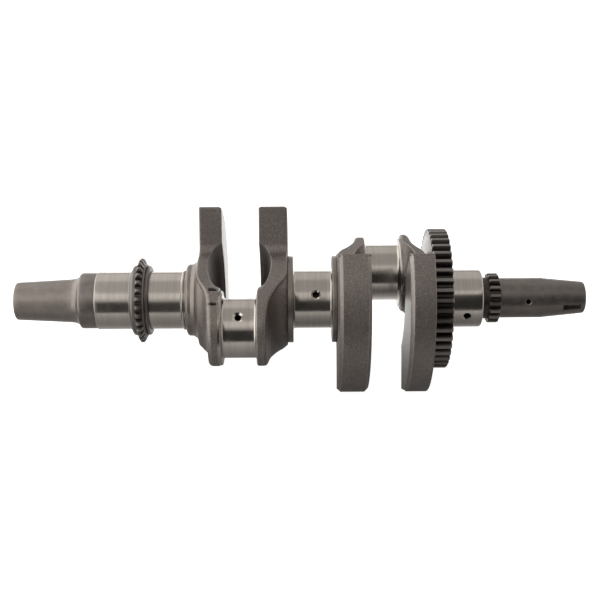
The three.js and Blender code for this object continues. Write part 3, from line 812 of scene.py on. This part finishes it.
def web(name, node, inner, outer, pin_side, lobe_r, slope, relief, outer_edge, notch=False):
    """A web as one closed surface: outer face, rim and inner face, each a grid.

    Every loop of the grid is the outline, shrunk towards a centre on the faces, and moved along its
    normals at the rounded edges. The height comes from the slope on the outer side and from the groove
    on the inner side. outer_edge is the edge's size round the lobe and on the fan's rim.
    """
    outline, normal, rim = web_outline(lobe_r)
    thickness = abs(outer - inner)
    direction = math.copysign(1, outer - inner)
    outer_height = slope_depth(slope, thickness)
    rim_soft = softened(rim, 2)
    loops, depths, edges, machined, groove_shade_rows, slot_shade_rows = [], [], [], [], [], []

    def face(height, edge_size, count, is_inner):
        rows = []
        border = outline - normal * edge_size[:, None]
        for t in np.linspace(0, 1, count)[1:]:
            at = STAR_CENTRE + (border - STAR_CENTRE) * t
            rows.append((at, height(*at.T), 0.0, is_inner))
        at_edge = height(*border.T)
        turn_sign = 1 if is_inner else -1
        # how much these rounded rows are lightened, as wear and painted highlight
        wear_and_highlight = INNER_WEAR_AND_HIGHLIGHT if is_inner else OUTER_WEAR_AND_HIGHLIGHT
        for k in np.linspace(0, 1, 7)[1:]:
            a = k * math.pi / 2
            out = (1 - rim_soft) * math.sin(a) + rim_soft * k
            down = (1 - rim_soft) * (1 - math.cos(a)) + rim_soft * k
            at = border + normal * (edge_size * out)[:, None]
            rows.append((at, at_edge + turn_sign * edge_size * down, wear_and_highlight, False))
        return rows

    lobe = np.clip((outline[:, 0] - 15) / 20, 0, 1)
    outer_size = softened(np.where(rim > 0, outer_edge[1], 1 + (outer_edge[0] - 1) * lobe), 3)
    inner_size = softened(np.where(rim > 0, INNER_RIM_EDGE, INNER_EDGE), 3)
    outside = face(outer_height, outer_size, 60, False)
    inside = face(relief, inner_size, 120, True)
    top, bottom = outside[-1][1], inside[-1][1]
    wall = []
    for t in np.linspace(0, 1, 26)[1:-1]:
        at, depth = outline.copy(), top + (bottom - top) * t
        if notch:
            at = at - normal * notch_depth(at, depth)[:, None]
        wall.append((at, depth, 0.0, False))
    everything = outside + wall + inside[::-1]
    for at, depth, edge, is_inner in everything:
        loops.append(at)
        depths.append(np.broadcast_to(depth, len(at)))
        edges.append(np.full(len(at), edge))
        machined.append(np.where(depth < 0.25, 1.0, 0.0) if is_inner else np.zeros(len(at)))
        # painted shade, growing with the depth of the groove
        groove_shade_rows.append(np.clip((depth - 1.5) / 4, 0, 1) if is_inner else np.zeros(len(at)))
        # painted shade in the slots, from the slot depth
        slot_shade_rows.append(notch_depth(at, depth) / SLOT_DEPTH if notch else np.zeros(len(at)))
    plan, depth = np.array(loops), np.array(depths)
    grid = np.stack([inner + direction * depth, pin_side * plan[..., 0], pin_side * plan[..., 1]], -1)
    values = {"edge": np.array(edges), "machined": np.array(machined), "groove": np.array(groove_shade_rows),
              "slot": np.array(slot_shade_rows)}
    return piece(name, grid, FORGED, [node], values, sharp=50.0)


def notch_depth(at, depth):
    """A small pad on the flank of web 1 with a slot at each end, where the flank meets the lobe."""
    flank = math.acos((HUB_R - LOBE_R) / THROW)
    start = np.array([THROW + LOBE_R * math.cos(flank), -LOBE_R * math.sin(flank)])
    along = (at - start) @ np.array([-math.sin(flank), -math.cos(flank)])
    beside = np.abs((at - start) @ np.array([math.cos(flank), -math.sin(flank)])) < 3
    lower = np.clip((1.5 - np.abs(along + 1.4)) / 0.4, 0, 1)
    upper = np.clip((0.9 - np.abs(along - 12.6)) / 0.4, 0, 1)
    pad = np.clip((7.4 - np.abs(along - 5.3)) / 0.5, 0, 1) * PAD_DEPTH
    inside_depth = np.clip((7.4 - depth) / 0.5, 0, 1)
    return np.maximum(pad, SLOT_DEPTH * np.maximum(lower, upper)) * inside_depth * beside


MIDDLE_SLOPE = [(0, 72), (6.4, 65), (6.8, 60), (7.3, 55), (8.0, 50), (8.8, 47), (9.8, 44.3), (12.9, 40.3),
                (16.3, 37.4), (19.1, 36.2), (22.8, 35.2)]
OUTER_SLOPE = [(0, 72), (6.8, 66), (7.8, 60), (8.4, 52), (9.2, 46), (10.4, 41.5), (12.5, 38.4), (15.7, 36.4),
               (17.8, 35.2)]
RELIEF = relief_depth(49.2, 19.3, 0.0)
WEB_4_LOBE_FACE = 80.0
WEB_4_RELIEF = relief_depth(46.0, 16.0, 2.2)

# Each web's inner face, towards its crankpin, and its outer face.
WEB_1_FACES = (-59.2, -76.5)
WEB_2_FACES = (-31.1, -9.4)
WEB_3_FACES = (50.6, 27.8)
WEB_4_FACES = (77.8, 95.6)

web("web_1_forged", "web_1", *WEB_1_FACES, -1, LOBE_R, OUTER_SLOPE, RELIEF, (3.5, 0.5), notch=True)
web("web_2_forged", "web_2", *WEB_2_FACES, -1, LOBE_R, MIDDLE_SLOPE, RELIEF, (3.0, 2.4))
web("web_3_forged", "web_3", *WEB_3_FACES, 1, LOBE_R, MIDDLE_SLOPE, RELIEF, (3.0, 2.4))
web("web_4_forged", "web_4", *WEB_4_FACES, 1, WEB_4_LOBE_R, OUTER_SLOPE, WEB_4_RELIEF, (3.5, 0.5))


SIDE_RING_R = 27.5


def side_ring(name, x_face, x_top, y):
    """The raised ring that the side of a connecting rod runs against, round the crankpin."""
    sign = math.copysign(1, x_top - x_face)
    corner = 1.1 if abs(x_top - x_face) > 1.2 else 0.3
    root = x_face - sign
    turned(name, [
        (root, CORE_R, 0), (root, SIDE_RING_R, 0), (x_top, SIDE_RING_R, corner), (x_top, CORE_R, 0),
    ], COLLAR, [], y=y)


side_ring("web_1_rod_ring", WEB_1_FACES[0], -56.8, -THROW)
side_ring("web_2_rod_ring", WEB_2_FACES[0], -31.6, -THROW)
side_ring("web_3_rod_ring", WEB_3_FACES[0], 50.9, THROW)
side_ring("web_4_rod_ring", WEB_4_LOBE_FACE, PIN_2[1], THROW)

# ------------------------------------------------------------------ pieces kept from the CAD model
for node_name, look in {
    "sprocket_seat": GROUND,
    "balancer_gear_seat": TURNED,
    "sprocket_key": PLUG,
    "balancer_gear_key": PLUG,
    "shaft_gallery_plug": PLUG,
}.items():
    for material_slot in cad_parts[node_name].material_slots:
        material_slot.material = look


# ------------------------------------------------------------------ studio
FLOOR_FRONT = -0.26


def make_floor():
    """A plain white table under the counterweights' corners, ending in front of the camera's view.

    Seen in the metal it shows a painted reflection: it glows dark in front of the shaft and white behind it,
    and its matt colour is darker, as painted shade, in a band in front of and under the shaft.
    """
    size, level = 6.0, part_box("web_1")[0][2]
    mesh = bpy.data.meshes.new("table")
    plan = [(-size, FLOOR_FRONT), (size, FLOOR_FRONT), (size, size), (-size, size)]
    mesh.from_pydata([(x, y, level) for x, y in plan], [], [(0, 1, 2, 3)])
    table = bpy.data.objects.new("table", mesh)
    bpy.context.scene.collection.objects.link(table)
    made, tree = material("table_white")
    path = tree.add("ShaderNodeLightPath")
    seen, mirrored = path[0], path[3]
    y = tree.add("ShaderNodeSeparateXYZ", None, {0: object_coordinates(tree)})[1]
    white = (1.0, 1.0, 1.0)
    # Painted reflection: glossy rays see a glow, dark in front and white behind; the camera sees plain
    # white.
    shade = tree.mix(seen, tree.mix(y.step(-0.04, 0.11), (0.06, 0.06, 0.06), white), white)
    # Painted shade: the matt colour is darker in a band in front of and under the shaft.
    near = y.step(-0.20, -0.05) * y.step(0.06, 0.0)
    matt_with_painted_shade = tree.mix(near, (0.6, 0.6, 0.6), (0.34, 0.34, 0.34))
    diffuse = tree.add("ShaderNodeBsdfDiffuse", None, {"Color": matt_with_painted_shade})[0]
    strength = seen * 0.95 + mirrored * 0.95
    glow = tree.add("ShaderNodeEmission", None, {"Color": shade, "Strength": strength})[0]
    both = tree.add("ShaderNodeAddShader", None, {0: diffuse, 1: glow})[0]
    tree.add("ShaderNodeOutputMaterial", None, {0: both})
    mesh.materials.append(made)


def make_world():
    """Soft studio surroundings: bright boxes above, in front and behind, and a dark band low in front.

    The band stands higher on the right, where the shaft sees a nearer dark panel.
    """
    world = bpy.data.worlds.new("studio")
    bpy.context.scene.world = world
    world.use_nodes = True
    tree = Tree(world.node_tree)
    direction = tree.add("ShaderNodeTexCoord")[0]
    x, y, z = tree.add("ShaderNodeSeparateXYZ", None, {0: direction})
    front = y.step(0.15, -0.35)
    raised = (z - x.step(0.02, 0.10) * 0.28).step(0.54, 0.40)
    band = front * raised
    front_box = front * z.step(0.52, 0.72) * z.step(0.93, 0.82)
    back_box = y.step(0.2, 0.5) * z.step(0.1, 0.35) * z.step(0.95, 0.8)
    sides = x.absolute().step(0.55, 0.85) * z.step(0.95, 0.6)
    left = x.step(-0.28, -0.55)
    light = 0.52 + front_box * 0.38 + back_box * 0.28 + sides * 0.35 + left * 1.0
    light = light * (1 - x.step(-0.16, -0.02) * 0.18)
    light = light * (1 - band * (1 - (sides + left).clamp()) * 0.92)
    seen = tree.add("ShaderNodeLightPath")[0]
    strength = light * (1 - seen) + seen * 1.05
    inputs = {"Color": (1.0, 0.985, 0.96, 1.0), "Strength": strength}
    background = tree.add("ShaderNodeBackground", None, inputs)[0]
    tree.add("ShaderNodeOutputWorld", None, {0: background})


make_floor()
make_world()
bpy.context.scene.view_settings.view_transform = "Standard"
